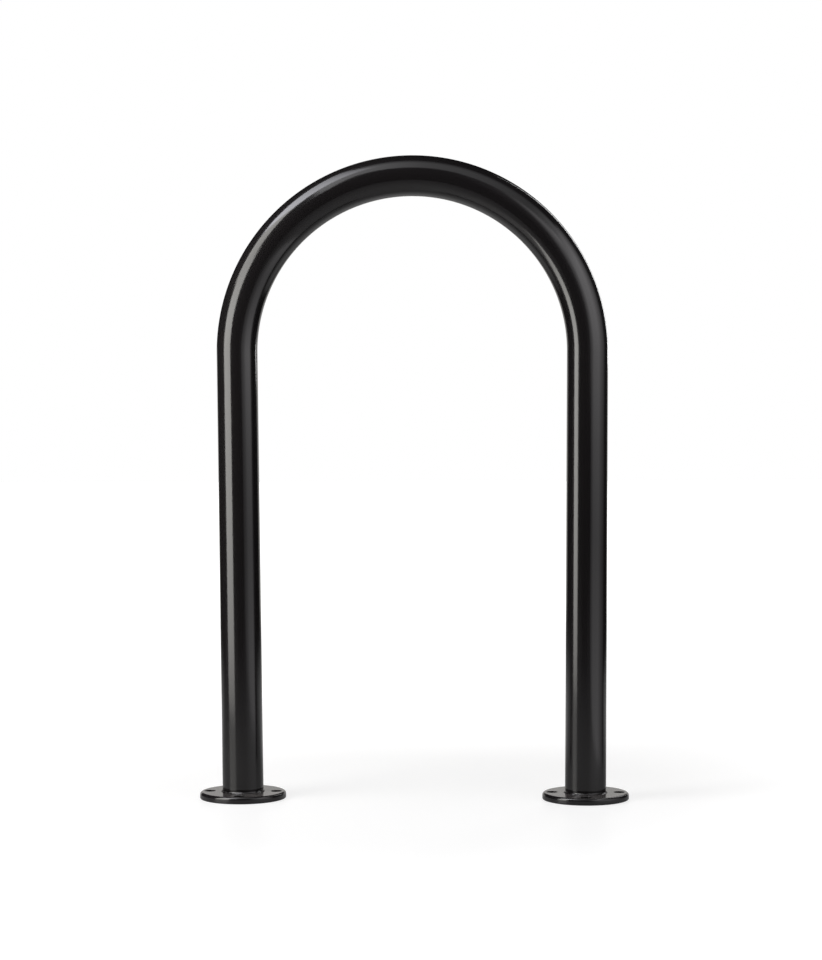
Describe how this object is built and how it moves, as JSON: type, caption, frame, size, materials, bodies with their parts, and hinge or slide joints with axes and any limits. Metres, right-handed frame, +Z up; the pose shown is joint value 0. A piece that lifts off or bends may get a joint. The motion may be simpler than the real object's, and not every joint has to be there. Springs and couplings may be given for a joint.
{
  "type": "hoop bike rack",
  "caption": "Inverted-U hoop bike rack: one bent round steel tube on two round bolt-down base plates, powder coated black, for parking and locking bicycles.",
  "frame": {"origin": "on the ground, midway between the two base plates, under the middle of the hoop", "axes": "+Z up; X across the hoop, in the hoop's plane, with the left foot at -X; Y square to the hoop's plane, the way a bicycle is pushed through it"},
  "size_m": [0.6324, 0.127, 0.948],
  "materials": {
    "tube_powder_coat": "semi-gloss black powder coat with a fine orange peel",
    "plate_powder_coat": "semi-gloss black powder coat, smooth on the flat faces and thicker on the rounded rims",
    "weld_powder_coat": "semi-gloss black powder coat over a rippled fillet weld"
  },
  "bodies": {
    "root": {"hoop_tube": "tube_powder_coat", "left_base_plate": "plate_powder_coat", "right_base_plate": "plate_powder_coat", "left_weld_bead": "weld_powder_coat", "right_weld_bead": "weld_powder_coat"}
  },
  "joints": []
}
